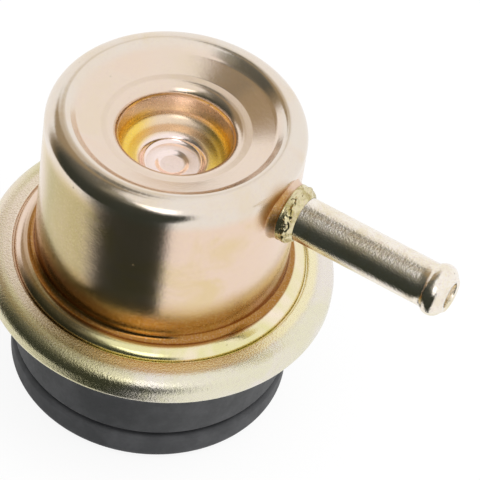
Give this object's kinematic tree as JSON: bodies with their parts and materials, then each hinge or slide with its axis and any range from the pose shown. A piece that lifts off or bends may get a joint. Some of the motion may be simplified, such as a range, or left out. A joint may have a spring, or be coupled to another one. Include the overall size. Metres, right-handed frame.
{
  "type": "fuel pressure regulator",
  "caption": "Vacuum-referenced fuel pressure regulator with a crimped steel spring housing, a side hose nipple and a sealed plug-in lower end.",
  "frame": {"origin": "on the main axis, in the plane of the crimped flange's seat", "axes": "+Z along the main axis towards the spring housing's top, +X along the vacuum nipple"},
  "size_m": [0.0573, 0.0416, 0.0409],
  "materials": {
    "zinc_chromate": "zinc plate with iridescent yellow chromate",
    "braze": "crinkled braze under the plating",
    "plain_steel": "bare turned or pressed steel",
    "spring_steel": "oil-tempered wire",
    "diaphragm_rubber": "fabric-reinforced rubber",
    "turned_brass": "turned",
    "strainer_nylon": "natural nylon",
    "black_nylon": "matte moulded",
    "seal_rubber": "matte moulded rubber"
  },
  "bodies": {
    "housing": {"spring_housing": "zinc_chromate", "vacuum_nipple": "zinc_chromate", "braze_fillet": "braze", "upper_spring_seat": "plain_steel", "pressure_spring": "spring_steel", "diaphragm": "diaphragm_rubber", "valve_housing": "zinc_chromate", "return_tube": "plain_steel", "strainer_frame": "strainer_nylon", "strainer_mesh": "strainer_nylon", "seal_carrier": "black_nylon", "rail_seal": "seal_rubber", "return_seal": "seal_rubber"},
    "valve": {"lower_spring_seat": "plain_steel", "diaphragm_washer": "plain_steel", "valve_carrier": "turned_brass", "valve_ball": "plain_steel", "valve_plate": "plain_steel", "plate_retainer": "plain_steel"}
  },
  "joints": [
    {"name": "valve_lift", "type": "slide", "parent": "housing", "child": "valve", "axis": [0, 0, 1], "range_m": [0, 0.001], "stiffness_N_per_m": 10000, "springref_m": -0.0136, "deforming": ["pressure_spring", "diaphragm"]}
  ]
}
